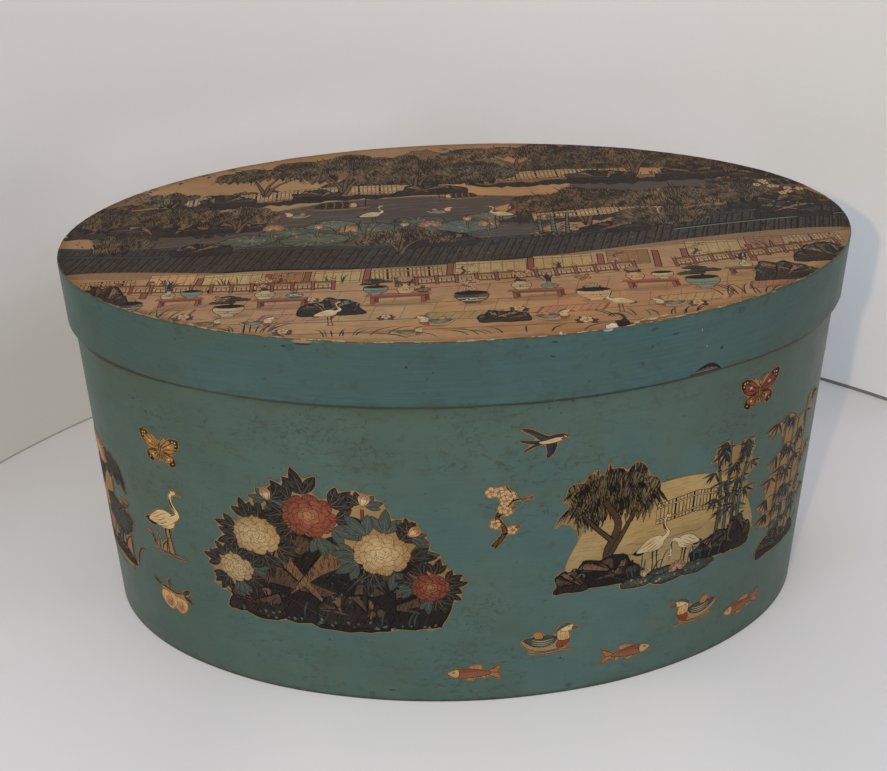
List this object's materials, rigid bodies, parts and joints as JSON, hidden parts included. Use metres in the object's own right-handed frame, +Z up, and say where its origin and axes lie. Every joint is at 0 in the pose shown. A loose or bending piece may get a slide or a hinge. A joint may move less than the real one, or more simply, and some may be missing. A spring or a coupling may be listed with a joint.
{
  "type": "bentwood oval box",
  "caption": "Oval storage box of bent wood strip on a wooden bottom board, with a lift-off rimmed lid, painted outside and pasted with paper cut-outs.",
  "frame": {"origin": "centre of the underside, where the box stands", "axes": "+X along the oval's length, +Z up, -Y to the front"},
  "size_m": [0.406, 0.2516, 0.2152],
  "materials": {
    "wall_paint": "grey-teal paint on bent wood under aged satin varnish, finely crackled, bare wood inside",
    "rim_paint": "blue-teal paint on bent wood with fine brush strokes along it, satin",
    "bottom_wood": "bare planed softwood, aged",
    "lid_wood": "bare planed softwood, aged",
    "lid_paper": "aged printed paper pasted down and varnished, satin",
    "cutout_paper": "aged printed paper pasted down and varnished, satin",
    "sprig_iron": "dark iron, painted over outside",
    "tack_iron": "dark iron"
  },
  "bodies": {
    "box": {"side_band": "wall_paint", "bottom_board": "bottom_wood", "cutout_peony_rock": "cutout_paper", "cutout_waterside": "cutout_paper", "cutout_bamboo": "cutout_paper", "cutout_lotus": "cutout_paper", "cutout_pine": "cutout_paper", "cutout_chrysanthemum": "cutout_paper", "cutout_swallow_1": "cutout_paper", "cutout_swallow_2": "cutout_paper", "cutout_swallow_3": "cutout_paper", "cutout_butterfly_1": "cutout_paper", "cutout_butterfly_2": "cutout_paper", "cutout_butterfly_3": "cutout_paper", "cutout_crane_1": "cutout_paper", "cutout_crane_2": "cutout_paper", "cutout_duck_1": "cutout_paper", "cutout_duck_2": "cutout_paper", "cutout_duck_3": "cutout_paper", "cutout_fish_1": "cutout_paper", "cutout_fish_2": "cutout_paper", "cutout_fish_3": "cutout_paper", "cutout_fish_4": "cutout_paper", "cutout_plum_sprig_1": "cutout_paper", "cutout_plum_sprig_2": "cutout_paper", "cutout_peach_1": "cutout_paper", "cutout_peach_2": "cutout_paper", "cutout_gourd_1": "cutout_paper", "cutout_gourd_2": "cutout_paper", "bottom_sprig_01": "sprig_iron", "bottom_sprig_02": "sprig_iron", "bottom_sprig_03": "sprig_iron", "bottom_sprig_04": "sprig_iron", "bottom_sprig_05": "sprig_iron", "bottom_sprig_06": "sprig_iron", "bottom_sprig_07": "sprig_iron", "bottom_sprig_08": "sprig_iron", "bottom_sprig_09": "sprig_iron", "bottom_sprig_10": "sprig_iron", "wall_tack_1": "tack_iron", "wall_tack_2": "tack_iron", "wall_tack_3": "tack_iron", "wall_tack_4": "tack_iron", "wall_tack_5": "tack_iron"},
    "lid": {"lid_band": "rim_paint", "lid_board": "lid_wood", "lid_paper": "lid_paper", "lid_sprig_01": "sprig_iron", "lid_sprig_02": "sprig_iron", "lid_sprig_03": "sprig_iron", "lid_sprig_04": "sprig_iron", "lid_sprig_05": "sprig_iron", "lid_sprig_06": "sprig_iron", "lid_sprig_07": "sprig_iron", "lid_sprig_08": "sprig_iron", "lid_sprig_09": "sprig_iron", "lid_sprig_10": "sprig_iron", "lid_tack_1": "tack_iron", "lid_tack_2": "tack_iron"}
  },
  "joints": [
    {"name": "lid_lift", "type": "slide", "parent": "box", "child": "lid", "axis": [0, 0, 1], "range_m": [0, 0.15]}
  ]
}
